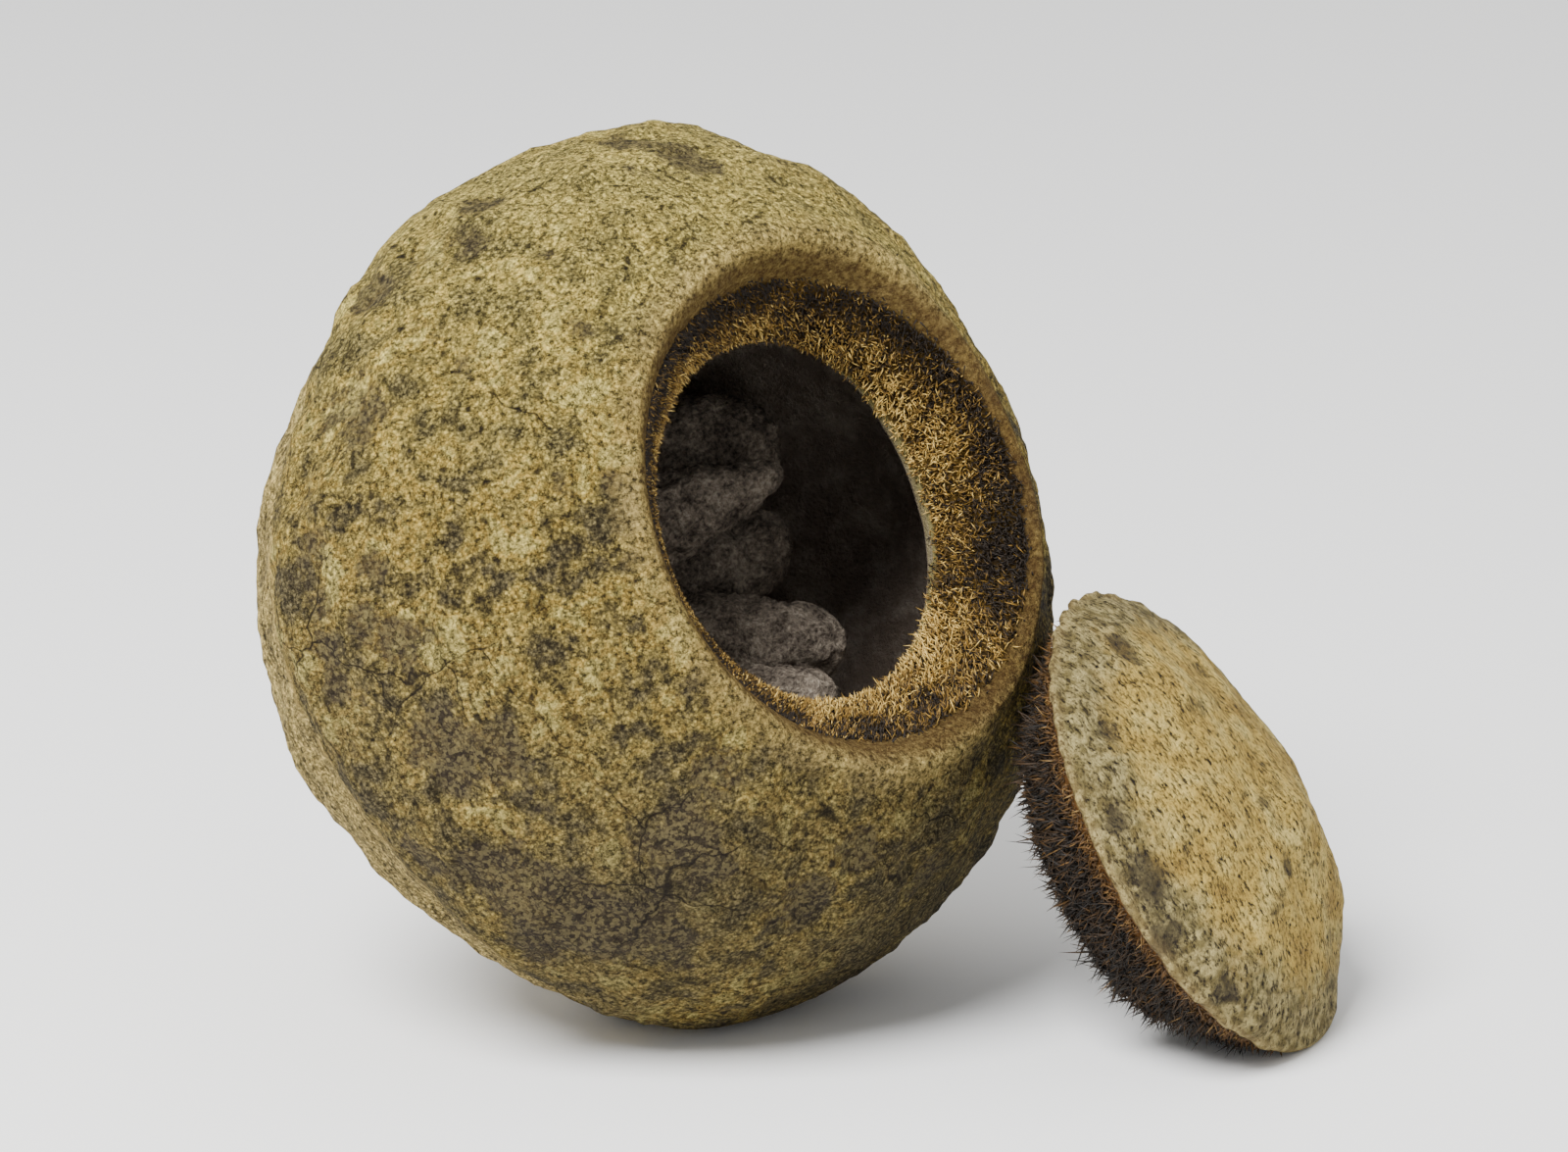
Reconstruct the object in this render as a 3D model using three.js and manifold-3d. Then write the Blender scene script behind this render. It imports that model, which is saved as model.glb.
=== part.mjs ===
// Monkey pot: the woody fruit of a sapucaia tree, lying on its side with its mouth forward and up.
// The pot is one thick-walled hollow body. Its lid leans against its shoulder, and its seeds still
// sit in the back of the hollow. Millimetres, +Z up, the mouth towards -Y, the floor at Z = 0, and
// the origin in the flat spot that the pot rests on.
import * as THREE from "three";
import { mergeVertices } from "three/addons/utils/BufferGeometryUtils.js";
import Module from "manifold-3d";

const wasm = await Module();
wasm.setup();

// Pot, in its own frame: Z along its axis towards the mouth, Z = 0 at its widest place.
const POT = {
  radius: 62.0,
  baseDepth: 41.0, // from the widest place down to the base
  baseFullness: 1.85, // exponent of the rounding: 2 is an ellipse, more is squarer
  shoulderRise: 54.0, // height that the shoulder would reach with no mouth
  shoulderFullness: 2.0,
  lipRadius: 35.0, // crest of the lip
  lipHeight: 44.6,
  lipWidth: 6.4, // from the shoulder across the crest to the groove
  mouthRadius: 23.4, // sharp inner edge of the mouth
  mouthDepth: 12.6, // from the crest down to that edge
  grooveDepth: 1.6, // how far the fibrous slope dips just inside the lip
  hollowRadius: 48.0,
  hollowFullness: 2.2,
  hollowDepth: 30.0, // from the widest place down to the hollow's floor
  ringHeight: -3.5, // calyx ring, just under the widest place
  ringStep: 2.2, // how far the skin stands out over the base at the ring
  ringFade: 16, // distance below the ring over which that step runs out
  sepals: 6, // scars of the sepals round the ring
  sepalHollow: 1.2, // how far the skin draws in between two scars
  sepalFade: 9,
  stalkRadius: 7.0, // broken end of the stalk
  stalkHeight: 2.4,
  swelling: 1.0, // height of the skin's low swellings
  swellingSize: 26,
};
// Torn edge of the lining that the seeds grew from, round the hollow's wall.
const LINING = {
  level: -11, // its height in the pot's frame
  height: 2.6, // how far it stands off the wall
  width: 5,
  waves: 3, // rises and dips of the edge round the wall
  waveHeight: 3,
  waveStart: -129, // degrees
  tears: 7, // thick and thin places round the wall
};
// Broad flats of the grown body, by the way each faces in the pot's frame, with the depth in
// millimetres and the spread in degrees. A fuller place has a negative depth.
const FLATS = [
  { faces: [-0.5, 0.77, -0.4], depth: 6.2, spread: 30 },
  { faces: [-0.22, 0.97, -0.11], depth: 1.4, spread: 16 },
  { faces: [-0.56, -0.59, -0.58], depth: 4.4, spread: 26 },
  { faces: [0.71, -0.29, 0.64], depth: 2.6, spread: 30 },
  { faces: [0.38, -0.88, 0.28], depth: 1.3, spread: 24 },
  { faces: [0.7, 0.22, 0.68], depth: 1.9, spread: 20 },
  { faces: [0.55, 0.61, 0.57], depth: -1.0, spread: 16 },
  { faces: [-0.26, -0.91, -0.33], depth: -1.4, spread: 16 },
  { faces: [0.25, 0.91, 0.31], depth: -1.2, spread: 18 },
];
const POT_TILT = 24.5; // degrees that the mouth looks up
const POT_TURNS = 64; // steps round the pot
const ROWS = { base: 14, shoulder: 11, lip: 4, slope: 5, overhang: 8, floor: 9 }; // steps along it

// Lid, in its own frame: Z along its axis out of the dome, Z = 0 at its rim.
const LID = {
  radius: 33.6,
  rimThick: 1.6,
  domeHeight: 12.4,
  domeFullness: 1.5,
  domeSlump: 4.0, // how far the dome's top lies below the rim's middle
  plugTopRadius: 31.4, // the fibrous plug that sat in the mouth
  plugRadius: 23.4,
  plugDepth: 13.5,
  plugSlant: 0.1, // share of its depth that it gains at its lower edge and lacks at its upper one
  plugRound: 2.4, // rounding of its torn edge
  plugHollow: 2.5, // how far its end draws in
  fibreRidges: 18, // torn ridges of fibre down the plug
  fibreRelief: 0.6,
  fibreStart: 3, // distance from the rim over which the ridges rise
  swelling: 0.6,
  swellingSize: 17,
};
const LID_TURNS = 54;
const LID_ROWS = { plug: 3, dome: 11 };
const LID_LOOKS = [0.358, -0.778, 0.513]; // the way the dome faces
const LID_AT = [38.8, -66.2]; // its rim's middle, from the pot's; its height follows from the floor

// Seeds, in the pot's frame: each from its root at the hollow's back to its tip.
const SEED = {
  rootFullness: 1.9, // exponent of the rounding at the root
  sideFullness: 2.6, // and round the middle
  ribs: 4,
  ribHeight: 0.5,
};
const SEEDS = [
  { root: [2, 20, -26], tip: [31, 15, 0], wide: 15, thick: 15, tipFullness: 2.6 },
  { root: [-9, 6, -23], tip: [21, 9.5, 9.5], wide: 15, thick: 11.5, tipFullness: 1.4 },
  { root: [5, 2, -28], tip: [29, 1.5, -2], wide: 14, thick: 13, tipFullness: 3 },
  { root: [-6, -4, -24], tip: [23, -15, 9.5], wide: 14, thick: 13, tipFullness: 2.4 },
  { root: [-11, -17.5, -24], tip: [10, -22, 19], wide: 14, thick: 11, tipFullness: 2.2 },
  { root: [-13, 16, -25], tip: [-36, 12, 6], wide: 15, thick: 12, tipFullness: 2 },
  { root: [-17, 0, -26], tip: [-39, -1, 3], wide: 15, thick: 12, tipFullness: 2 },
  { root: [-20, -13, -24], tip: [-38, -17, 6], wide: 14, thick: 11.5, tipFullness: 2 },
];
const SEED_TURNS = 14;
const SEED_ROWS = 10;

const FLOOR_BITE = 1.1; // depth of the flat that the pot rests on
const LID_BITE = 0.5; // and of the spot that the lid's edge stands on
const SLAB = 400; // side of the block that cuts those flats

const skin = { color: 0xa58748, roughness: 0.9, metalness: 0 };
const lidSkin = { color: 0x947847, roughness: 0.95, metalness: 0 };
const seedCoat = { color: 0x352d28, roughness: 0.85, metalness: 0 };

// A closed geometry as a solid, with shared corners merged and collapsed triangles dropped.
function solidFrom(geometry) {
  const bare = new THREE.BufferGeometry();
  bare.setAttribute("position", geometry.getAttribute("position"));
  bare.setIndex(geometry.index);
  const merged = mergeVertices(bare, 1e-3);
  const corners = merged.index.array;
  const kept = [];
  for (let i = 0; i < corners.length; i += 3) {
    const [a, b, c] = corners.slice(i, i + 3);
    if (a !== b && b !== c && c !== a) kept.push(a, b, c);
  }
  return new wasm.Manifold(
    new wasm.Mesh({
      numProp: 3,
      vertProperties: merged.getAttribute("position").array,
      triVerts: new Uint32Array(kept),
    }),
  );
}

// A solid as a geometry with normals.
function geometryFrom(solid) {
  const mesh = solid.getMesh();
  const geometry = new THREE.BufferGeometry();
  geometry.setAttribute("position", new THREE.BufferAttribute(mesh.vertProperties, 3));
  geometry.setIndex(new THREE.BufferAttribute(mesh.triVerts, 1));
  geometry.computeVertexNormals();
  return geometry;
}

// A profile of [across, along] pairs, turned round Z.
function turned(profile, steps) {
  const points = profile.map(([across, along]) => new THREE.Vector2(across, along));
  return new THREE.LatheGeometry(points, steps).rotateX(Math.PI / 2);
}

// Part of a quarter superellipse between two shares of a right angle, as [across, along] pairs.
function quarter(wide, tall, fullness, from, to, steps) {
  return Array.from({ length: steps + 1 }, (_, i) => {
    const angle = ((from + ((to - from) * i) / steps) * Math.PI) / 2;
    const across = Math.max(0, Math.cos(angle)) ** (2 / fullness);
    const along = Math.max(0, Math.sin(angle)) ** (2 / fullness);
    return [wide * across, tall * along];
  });
}

// The share of a right angle at which a quarter superellipse has narrowed to a radius.
function narrowedTo(radius, wide, fullness) {
  return Math.acos((radius / wide) ** (fullness / 2)) / (Math.PI / 2);
}

// A curve's points as [across, along] pairs, without its first.
function along(curve, steps) {
  return curve.getPoints(steps).slice(1).map((point) => [point.x, point.y]);
}

// Moves every vertex of a geometry with a function that changes the point it is given.
function reshape(geometry, change) {
  const position = geometry.getAttribute("position");
  const point = new THREE.Vector3();
  for (let i = 0; i < position.count; i++) {
    change(point.fromBufferAttribute(position, i), i);
    position.setXYZ(i, point.x, point.y, point.z);
  }
  return geometry;
}

// Low swellings of a grown skin, between -1 and 1: a few slanted waves through space.
function swelling(point, size) {
  const { x, y, z } = point.clone().divideScalar(size);
  return (
    0.4 * Math.sin(2.1 * x + 1.3 * y - 0.7 * z + 0.6) +
    0.35 * Math.sin(-1.7 * x + 2.6 * y + 1.9 * z + 2.1) +
    0.25 * Math.sin(3.9 * x - 2.8 * y + 3.3 * z + 4.4)
  );
}

// How far a superellipse reaches at a turn, where a circle reaches 1.
function squared(turn, fullness) {
  const across = Math.abs(Math.cos(turn)) ** fullness;
  const along = Math.abs(Math.sin(turn)) ** fullness;
  return (across + along) ** (-1 / fullness);
}

// A bump of height 1 that falls away over a width on both sides of zero.
function bump(offset, width) {
  return Math.exp(-((offset / width) ** 2));
}

// Takes off what lies under the floor. The matrix places the solid's frame in the object's.
function restOnFloor(solid, matrix) {
  const slab = new THREE.BoxGeometry(SLAB, SLAB, SLAB).translate(0, 0, -SLAB / 2);
  return solid.subtract(solidFrom(slab.applyMatrix4(matrix.clone().invert())));
}

// The lowest vertex of a geometry once a matrix has placed it.
function lowest(geometry, matrix) {
  const position = geometry.getAttribute("position");
  const low = new THREE.Vector3(0, 0, Infinity);
  const point = new THREE.Vector3();
  for (let i = 0; i < position.count; i++) {
    point.fromBufferAttribute(position, i).applyMatrix4(matrix);
    if (point.z < low.z) low.copy(point);
  }
  return low;
}

// Outside of the pot, from the stalk's end up to the lip, then down the mouth's slope to its edge.
function potOutside() {
  const p = POT;
  const shoulderEnd = p.lipRadius + p.lipWidth / 2;
  const shoulder = quarter(
    p.radius, p.shoulderRise, p.shoulderFullness,
    0, narrowedTo(shoulderEnd, p.radius, p.shoulderFullness), ROWS.shoulder,
  );
  const [lipOuter, lipOuterHeight] = shoulder.at(-1);
  const edgeHeight = p.lipHeight - p.mouthDepth;
  const grooveRadius = p.lipRadius - p.lipWidth / 2;
  const grooveHeight = p.lipHeight - p.lipWidth / 2;
  const lip = new THREE.QuadraticBezierCurve(
    new THREE.Vector2(lipOuter, lipOuterHeight),
    new THREE.Vector2(p.lipRadius, p.lipHeight + p.lipWidth / 4),
    new THREE.Vector2(grooveRadius, grooveHeight),
  );
  const slope = new THREE.CubicBezierCurve(
    new THREE.Vector2(grooveRadius, grooveHeight),
    new THREE.Vector2(grooveRadius - p.grooveDepth, grooveHeight - 3 * p.grooveDepth),
    new THREE.Vector2(p.mouthRadius + 2 * p.grooveDepth, edgeHeight + 4 * p.grooveDepth),
    new THREE.Vector2(p.mouthRadius, edgeHeight),
  );
  const base = quarter(p.radius, -p.baseDepth, p.baseFullness, 0, 1, ROWS.base)
    .reverse()
    .filter(([across, height]) => across > p.stalkRadius * 1.2 && height < 0);
  return [
    [0, -p.baseDepth - p.stalkHeight],
    [p.stalkRadius * 0.8, -p.baseDepth - p.stalkHeight],
    [p.stalkRadius, -p.baseDepth],
    ...base,
    ...shoulder,
    ...along(lip, ROWS.lip),
    ...along(slope, ROWS.slope),
  ];
}

// Inside of the pot, from the mouth's edge out to the hollow's wall and down to its floor.
function potInside() {
  const p = POT;
  const edge = narrowedTo(p.mouthRadius, p.hollowRadius, p.hollowFullness);
  const edgeHeight = p.lipHeight - p.mouthDepth;
  const rise = edgeHeight / Math.sin((edge * Math.PI) / 2) ** (2 / p.hollowFullness);
  const over = quarter(p.hollowRadius, rise, p.hollowFullness, edge, 0, ROWS.overhang).slice(1);
  const floor = quarter(p.hollowRadius, -p.hollowDepth, p.hollowFullness, 0, 1, ROWS.floor).slice(1);
  return [...over, ...floor];
}

// How far the broad flats draw a point of the outside in.
function flattened(point) {
  return FLATS.reduce((sum, { faces, depth, spread }) => {
    const angle = THREE.MathUtils.radToDeg(point.angleTo(new THREE.Vector3(...faces)));
    return sum + depth * bump(angle, spread);
  }, 0);
}

// Relief of the pot's outside: low swellings, and the calyx ring with its sepal scars.
function shapeSkin(point) {
  const p = POT;
  const turn = Math.atan2(point.y, point.x);
  const radius = Math.hypot(point.x, point.y);
  const low = p.swelling * swelling(point, p.swellingSize);
  const underRing = point.z < p.ringHeight ? bump(point.z - p.ringHeight, p.ringFade) : 0;
  const betweenSepals = 0.5 - 0.5 * Math.cos(p.sepals * turn);
  const scars = p.sepalHollow * betweenSepals * bump(point.z - p.ringHeight, p.sepalFade);
  const grown = 1 + (low - p.ringStep * underRing - scars) / p.radius;
  point.multiplyScalar(1 - flattened(point) / p.radius);
  point.x *= grown;
  point.y *= grown;
  point.z += low * (point.z / p.radius) * Math.min(1, radius / p.lipRadius);
}

// Relief of the hollow: the torn edge of the lining.
function shapeHollow(point) {
  const turn = Math.atan2(point.y, point.x);
  const start = THREE.MathUtils.degToRad(LINING.waveStart);
  const level = LINING.level + LINING.waveHeight * Math.sin(LINING.waves * turn + start);
  const torn = 0.75 + 0.25 * Math.sin(LINING.tears * turn);
  const ridge = LINING.height * torn * bump(point.z - level, LINING.width);
  const drawnIn = 1 - ridge / POT.hollowRadius;
  point.x *= drawnIn;
  point.y *= drawnIn;
}

function makePot() {
  const outside = potOutside();
  const profile = [...outside, ...potInside()];
  const geometry = turned(profile, POT_TURNS);
  reshape(geometry, (point, i) => {
    const row = i % profile.length;
    if (row < outside.length) shapeSkin(point);
    else shapeHollow(point);
  });
  const group = new THREE.Group();
  group.rotation.x = THREE.MathUtils.degToRad(90 - POT_TILT);
  group.updateMatrix();
  const low = lowest(geometry, group.matrix);
  group.position.set(-low.x, -low.y, -low.z - FLOOR_BITE);
  group.updateMatrix();
  const pot = new THREE.Mesh(
    geometryFrom(restOnFloor(solidFrom(geometry), group.matrix)),
    new THREE.MeshStandardMaterial(skin),
  );
  pot.name = "pot";
  group.add(pot, ...SEEDS.map(makeSeed));
  return group;
}

// A seed: a plump spindle with flattened sides and low ribs, from its root to its tip.
function makeSeed({ root, tip, wide, thick, tipFullness }, index) {
  const from = new THREE.Vector3(...root);
  const to = new THREE.Vector3(...tip);
  const reach = from.distanceTo(to) / 2;
  const rootEnd = quarter(0.5, -reach, SEED.rootFullness, 0, 1, SEED_ROWS / 2).reverse();
  const tipEnd = quarter(0.5, reach, tipFullness, 0, 1, SEED_ROWS / 2).slice(1);
  const geometry = reshape(turned([...rootEnd, ...tipEnd], SEED_TURNS), (point) => {
    const turn = Math.atan2(point.y, point.x);
    const side = squared(turn, SEED.sideFullness);
    const rib = SEED.ribHeight * Math.cos(SEED.ribs * turn);
    point.x *= wide * side + rib;
    point.y *= thick * side + rib;
  });
  const seed = new THREE.Mesh(
    geometryFrom(solidFrom(geometry)),
    new THREE.MeshStandardMaterial(seedCoat),
  );
  seed.name = `seed_${index + 1}`;
  seed.position.copy(from).lerp(to, 0.5);
  seed.lookAt(to);
  return seed;
}

// Profile of the lid, from the middle of its plug's end round its rim to the top of its dome.
function lidProfile() {
  const l = LID;
  const side = Array.from({ length: LID_ROWS.plug + 1 }, (_, i) => [
    THREE.MathUtils.lerp(l.plugRadius, l.plugTopRadius, i / LID_ROWS.plug),
    THREE.MathUtils.lerp(l.plugRound - l.plugDepth, -l.rimThick, i / LID_ROWS.plug),
  ]);
  return [
    [0, l.plugHollow - l.plugDepth],
    [l.plugRadius * 0.5, l.plugHollow * 0.7 - l.plugDepth],
    [l.plugRadius - l.plugRound, -l.plugDepth],
    [l.plugRadius - l.plugRound * 0.3, -l.plugDepth + l.plugRound * 0.3],
    ...side,
    [l.radius - 0.4, -l.rimThick * 0.6],
    ...quarter(l.radius, l.domeHeight, l.domeFullness, 0, 1, LID_ROWS.dome),
  ];
}

// Relief of the lid: low swellings on the dome, and torn ridges of fibre down the plug.
function shapeLid(point) {
  const l = LID;
  const turn = Math.atan2(point.y, point.x);
  if (point.z > 0) {
    const rise = point.z / l.domeHeight;
    point.z += l.swelling * swelling(point, l.swellingSize) * Math.min(1, 3 * rise);
    point.y -= l.domeSlump * rise;
    return;
  }
  const depth = Math.min(1, Math.max(0, -point.z - l.rimThick) / l.fibreStart);
  const torn = Math.sin(l.fibreRidges * turn + Math.sin(5 * turn) + 0.35 * point.z);
  point.z *= 1 - (l.plugSlant * point.y) / l.plugRadius;
  const grown = 1 + (l.fibreRelief * depth * torn) / l.plugRadius;
  point.x *= grown;
  point.y *= grown;
}

function makeLid(besidePot) {
  const geometry = reshape(turned(lidProfile(), LID_TURNS), shapeLid);
  const lid = new THREE.Mesh(geometry, new THREE.MeshStandardMaterial(lidSkin));
  lid.name = "lid";
  lid.up.set(0, 0, 1);
  lid.lookAt(...LID_LOOKS);
  lid.position.set(besidePot.x + LID_AT[0], besidePot.y + LID_AT[1], 0);
  lid.updateMatrix();
  lid.position.z = -lowest(geometry, lid.matrix).z - LID_BITE;
  lid.updateMatrix();
  lid.geometry = geometryFrom(restOnFloor(solidFrom(geometry), lid.matrix));
  return lid;
}

const filledPot = makePot();
const monkeyPot = new THREE.Group();
monkeyPot.add(filledPot, makeLid(filledPot.position));

export default monkeyPot;
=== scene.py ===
"""Visual model of a monkey pot: a woody fruit on its side, its lid leaning on it, its seeds inside.

Sizes in the classes are millimetres. The meshes are metres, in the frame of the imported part.
"""
import logging
import math
from dataclasses import dataclass, field
from enum import Enum
from functools import partial

import bmesh
import bpy
import numpy as np
from mathutils import Matrix, Vector, noise
from mathutils.bvhtree import BVHTree


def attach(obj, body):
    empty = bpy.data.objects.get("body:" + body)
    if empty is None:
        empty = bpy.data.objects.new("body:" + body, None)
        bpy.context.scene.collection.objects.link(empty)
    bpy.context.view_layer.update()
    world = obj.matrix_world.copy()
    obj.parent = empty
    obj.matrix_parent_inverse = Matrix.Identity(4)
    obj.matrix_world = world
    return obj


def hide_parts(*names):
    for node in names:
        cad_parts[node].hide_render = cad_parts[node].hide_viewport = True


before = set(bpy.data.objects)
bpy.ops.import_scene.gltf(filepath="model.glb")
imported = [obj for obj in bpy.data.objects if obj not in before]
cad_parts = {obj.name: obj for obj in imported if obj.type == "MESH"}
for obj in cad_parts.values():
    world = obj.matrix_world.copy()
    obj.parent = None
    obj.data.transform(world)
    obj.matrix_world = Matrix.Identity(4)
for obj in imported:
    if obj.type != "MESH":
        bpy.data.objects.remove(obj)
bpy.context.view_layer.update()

LOG = logging.getLogger("monkey_pot")
MM = 0.001
BODY = "root"
IMAGE_WIDE = 1600
IMAGE_TALL = 1175


class Slot(Enum):
    """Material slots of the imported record."""

    RIND = "woody_skin"
    LID = "lid_skin"
    SEED = "seed_coat"


def linear(colour: str) -> tuple[float, float, float, float]:
    """Turns an sRGB hex value into a linear colour.

    Args:
        colour: Hex value with a leading hash.

    Returns:
        Linear red, green and blue, and an alpha of one.
    """
    parts = [int(colour[i:i + 2], 16) / 255 for i in (1, 3, 5)]
    red, green, blue = (c / 12.92 if c <= 0.04045 else ((c + 0.055) / 1.055) ** 2.4 for c in parts)
    return red, green, blue, 1.0


def add_node(
    tree: bpy.types.NodeTree, kind: str, inputs: dict | None = None,
    stops: tuple[tuple[float, str], ...] = (), **settings,
) -> bpy.types.Node:
    """Adds a node with its settings, its values and its links.

    Args:
        tree: Node tree that the node goes into.
        kind: Node type without its ShaderNode prefix.
        inputs: Value or source socket for each input, by its name or index.
        stops: Position and hex colour of each stop, in order, if the node has a colour ramp.
        settings: Properties of the node.

    Returns:
        The new node.
    """
    made = tree.nodes.new("ShaderNode" + kind)
    for name, value in settings.items():
        setattr(made, name, value)
    for name, value in (inputs or {}).items():
        if isinstance(value, bpy.types.NodeSocket):
            tree.links.new(value, made.inputs[name])
        else:
            made.inputs[name].default_value = value
    if stops:
        elements = made.color_ramp.elements
        while len(elements) < len(stops):
            elements.new(0.5)
        for element, (position, colour) in zip(elements, stops):
            element.position = position
            element.color = linear(colour)
    return made


def new_material(name: str) -> tuple[bpy.types.Material, bpy.types.NodeTree]:
    """Makes an empty node material.

    Args:
        name: Name of the material.

    Returns:
        The material and its node tree.
    """
    material = bpy.data.materials.new(name)
    material.use_nodes = True
    material.node_tree.nodes.clear()
    return material, material.node_tree


def smoothstep(values: np.ndarray, low: float, high: float) -> np.ndarray:
    """Rises smoothly from 0 at low to 1 at high, or falls where high is the smaller."""
    share = np.clip((values - low) / (high - low), 0, 1)
    return share * share * (3 - 2 * share)


def bell(values: np.ndarray, width: float) -> np.ndarray:
    """A bump of height 1 that falls away over a width on both sides of zero."""
    return np.exp(-((values / width) ** 2))


def rough(points: np.ndarray, size: float, octaves: int = 1, seed: float = 0.0) -> np.ndarray:
    """Fractal noise at points, about -1 to 1.

    Args:
        points: Points in millimetres, one a row.
        size: Size of the largest bumps in millimetres.
        octaves: Number of finer layers.
        seed: Shift of the pattern.

    Returns:
        A value for each point.
    """
    shift = Vector((17.3, 9.1, 5.7)) * seed
    return np.array([noise.fractal(Vector(p) / size + shift, 1.0, 2.0, octaves) for p in points])


@dataclass(frozen=True)
class PieceFrame:
    """A piece's own frame in the scene: turn holds its axes as columns, and centre is in millimetres."""

    turn: Matrix
    centre: Vector

    def local(self, points: np.ndarray) -> np.ndarray:
        """Scene points in metres as the piece's own points in millimetres."""
        return (points / MM - np.array(self.centre)) @ np.array(self.turn)

    def direction(self, vectors: np.ndarray) -> np.ndarray:
        """Scene directions as the piece's own directions."""
        return vectors @ np.array(self.turn)

    def to_scene(self, vectors: np.ndarray) -> np.ndarray:
        """The piece's own directions as scene directions."""
        return vectors @ np.array(self.turn).T

    def coordinates(self, tree: bpy.types.NodeTree) -> bpy.types.NodeSocket:
        """Adds the nodes that give the piece's own coordinates in millimetres.

        Args:
            tree: Node tree of the material.

        Returns:
            The socket with the coordinates.
        """
        back = self.turn.transposed()
        source = add_node(tree, "TexCoord").outputs["Object"]
        placed = {
            "Vector": source,
            "Location": -(back @ self.centre),
            "Rotation": back.to_euler(),
            "Scale": (1 / MM, 1 / MM, 1 / MM),
        }
        return add_node(tree, "Mapping", placed).outputs[0]


def frame_facing(faces: tuple[float, float, float], centre: tuple[float, float, float]) -> PieceFrame:
    """A frame whose +Z faces a way and whose +Y is as upright as it can be.

    Args:
        faces: The way that +Z faces.
        centre: The frame's middle in millimetres.

    Returns:
        The frame.
    """
    out = Vector(faces).normalized()
    side = Vector((0, 0, 1)).cross(out).normalized()
    return PieceFrame(Matrix((side, out.cross(side), out)).transposed(), Vector(centre))


POT_FRAME = PieceFrame(Matrix.Rotation(math.radians(65.5), 3, "X"), Vector((5.58, 12.113, 55.635)))
LID_FRAME = frame_facing((0.358, -0.778, 0.513), (44.38, -54.087, 28.545))


@dataclass(frozen=True)
class StudioCamera:
    """The photograph's point of view."""

    aim: tuple[float, float, float] = (19.61, -1.30, 56.59)
    azimuth: float = -44.4
    elevation: float = 14.0
    distance: float = 900.0
    lens: float = 153.9
    sensor: float = 36.0

    def axes(self) -> tuple[Vector, Vector, Vector]:
        """The camera's right, up and backward directions."""
        turn = math.radians(self.azimuth)
        rise = math.radians(self.elevation)
        back = Vector((math.sin(turn) * math.cos(rise), -math.cos(turn) * math.cos(rise), math.sin(rise)))
        right = Vector((0, 0, 1)).cross(back).normalized()
        return right, back.cross(right), back

    def place(self) -> Vector:
        """Where the camera stands, in metres."""
        return (Vector(self.aim) + self.axes()[2] * self.distance) * MM

    def ray(self, across: float, down: float) -> Vector:
        """The way a pixel of the photograph looks.

        Args:
            across: Pixels from the image's left edge.
            down: Pixels from its top edge.

        Returns:
            A unit direction.
        """
        right, up, back = self.axes()
        reach = self.lens / self.sensor * IMAGE_WIDE
        way = right * (across - IMAGE_WIDE / 2) + up * (IMAGE_TALL / 2 - down) - back * reach
        return way.normalized()

    def build(self) -> bpy.types.Object:
        """Makes the camera and gives it to the scene."""
        data = bpy.data.cameras.new("studio_camera")
        data.lens = self.lens
        data.sensor_width = self.sensor
        data.sensor_fit = "HORIZONTAL"
        camera = bpy.data.objects.new("studio_camera", data)
        right, up, back = self.axes()
        turn = Matrix((right, up, back)).transposed().to_4x4()
        camera.matrix_world = Matrix.Translation(self.place()) @ turn
        bpy.context.scene.collection.objects.link(camera)
        bpy.context.scene.camera = camera
        return camera


CAMERA = StudioCamera()


def fine_copy(node: str, levels: int) -> bpy.types.Mesh:
    """A merged and smoothly subdivided copy of a CAD node's mesh.

    Args:
        node: Name of the node.
        levels: Subdivision levels.

    Returns:
        The new mesh.
    """
    bm = bmesh.new()
    bm.from_mesh(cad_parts[node].data)
    bmesh.ops.remove_doubles(bm, verts=bm.verts, dist=0.002 * MM)
    bmesh.ops.join_triangles(
        bm, faces=bm.faces, angle_face_threshold=math.radians(40), angle_shape_threshold=math.radians(60)
    )
    coarse = bpy.data.meshes.new(node + "_coarse")
    bm.to_mesh(coarse)
    bm.free()
    holder = bpy.data.objects.new(node + "_coarse", coarse)
    bpy.context.scene.collection.objects.link(holder)
    finer = holder.modifiers.new("finer", "SUBSURF")
    finer.levels = finer.render_levels = levels
    graph = bpy.context.evaluated_depsgraph_get()
    mesh = bpy.data.meshes.new_from_object(holder.evaluated_get(graph))
    bpy.data.objects.remove(holder)
    bpy.data.meshes.remove(coarse)
    mesh.materials.clear()
    return mesh


def points_of(mesh: bpy.types.Mesh) -> np.ndarray:
    """A mesh's vertices in metres, one a row."""
    flat = np.empty(len(mesh.vertices) * 3)
    mesh.vertices.foreach_get("co", flat)
    return flat.reshape(-1, 3)


def normals_of(mesh: bpy.types.Mesh) -> np.ndarray:
    """A mesh's vertex normals, one a row."""
    flat = np.empty(len(mesh.vertices) * 3)
    mesh.vertex_normals.foreach_get("vector", flat)
    return flat.reshape(-1, 3)


def set_points(mesh: bpy.types.Mesh, points: np.ndarray) -> None:
    """Moves a mesh's vertices."""
    mesh.vertices.foreach_set("co", points.ravel())
    mesh.update()


def set_values(mesh: bpy.types.Mesh, name: str, values: np.ndarray) -> None:
    """Stores a number for each vertex under a name that a material reads."""
    mesh.attributes.new(name, "FLOAT", "POINT").data.foreach_set("value", values.astype(np.float32))


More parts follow.
